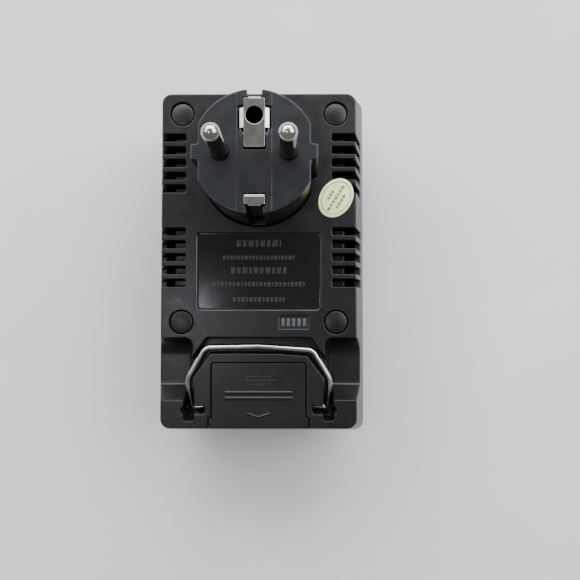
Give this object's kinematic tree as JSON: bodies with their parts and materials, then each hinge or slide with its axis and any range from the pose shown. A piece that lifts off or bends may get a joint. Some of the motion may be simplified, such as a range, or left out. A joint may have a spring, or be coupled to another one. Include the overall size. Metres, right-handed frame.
{
  "type": "plug-in voltage converter",
  "caption": "Black plug-in voltage converter with a round European plug, earth clips, slotted vents, a fold-out wire bail and a sliding fuse door on its rear face.",
  "frame": {"origin": "middle of the front face's plane, on which the case lies (centre of the bounding box, at its lowest height)", "axes": "+Z is the way the plug's pins point, away from the front face; +Y runs along the case's length towards its plug end; +X is across it, to the right seen from the plug side"},
  "size_m": [0.0692, 0.1128, 0.0869],
  "materials": {
    "case_plastic": "semi-gloss moulded black plastic with a fine spark texture",
    "plug_plastic": "satin moulded black plastic",
    "nickel": "bright nickel plating",
    "bail_steel": "drawn steel wire, nickel plated",
    "screw_steel": "zinc plated steel",
    "brass": "stamped brass",
    "lamination": "varnished electrical steel sheets",
    "copper_enamel": "enamelled copper wire",
    "bobbin_plastic": "natural nylon",
    "tape": "yellow polyester tape",
    "glass": "clear glass",
    "label_paper": "pale green coated paper",
    "wire_red": "red insulation",
    "wire_white": "white insulation",
    "wire_green": "green insulation",
    "wire_black": "black insulation"
  },
  "bodies": {
    "case": {"rear_shell": "case_plastic", "front_shell": "case_plastic", "plug_body": "plug_plastic", "line_pin_left": "nickel", "line_pin_right": "nickel", "earth_clip_top": "nickel", "earth_clip_low": "nickel", "earth_socket": "nickel", "earth_bridge": "brass", "screw_cap_1": "case_plastic", "screw_cap_2": "case_plastic", "screw_cap_3": "case_plastic", "screw_cap_4": "case_plastic", "case_screw_1": "screw_steel", "case_screw_2": "screw_steel", "case_screw_3": "screw_steel", "case_screw_4": "screw_steel", "fuse_glass": "glass", "fuse_element": "screw_steel", "fuse_cap_left": "nickel", "fuse_cap_right": "nickel", "fuse_clip_left": "brass", "fuse_clip_right": "brass", "outlet_body": "plug_plastic", "outlet_contact_live": "brass", "outlet_contact_neutral": "brass", "outlet_contact_earth": "brass", "transformer_core": "lamination", "coil_bobbin": "bobbin_plastic", "primary_winding": "copper_enamel", "secondary_winding": "copper_enamel", "winding_tape": "tape", "core_clamp_low": "screw_steel", "core_clamp_top": "screw_steel", "clamp_screw_1": "screw_steel", "clamp_screw_2": "screw_steel", "clamp_screw_3": "screw_steel", "clamp_screw_4": "screw_steel", "thermal_cutout": "bobbin_plastic", "live_lead": "wire_red", "neutral_lead": "wire_white", "earth_lead": "wire_green", "outlet_lead_live": "wire_black", "outlet_lead_neutral": "wire_white", "inspection_sticker": "label_paper"},
    "bail": {"bail_stand": "bail_steel"},
    "fuse_drawer": {"fuse_door": "case_plastic"}
  },
  "joints": [
    {"name": "bail_hinge", "type": "hinge", "parent": "case", "child": "bail", "pos_m": [0, -0.0465, 0.0436], "axis": [1, 0, 0], "range_deg": [0, 75]},
    {"name": "fuse_door_slide", "type": "slide", "parent": "case", "child": "fuse_drawer", "axis": [0, -1, 0], "range_m": [0, 0.02]}
  ]
}
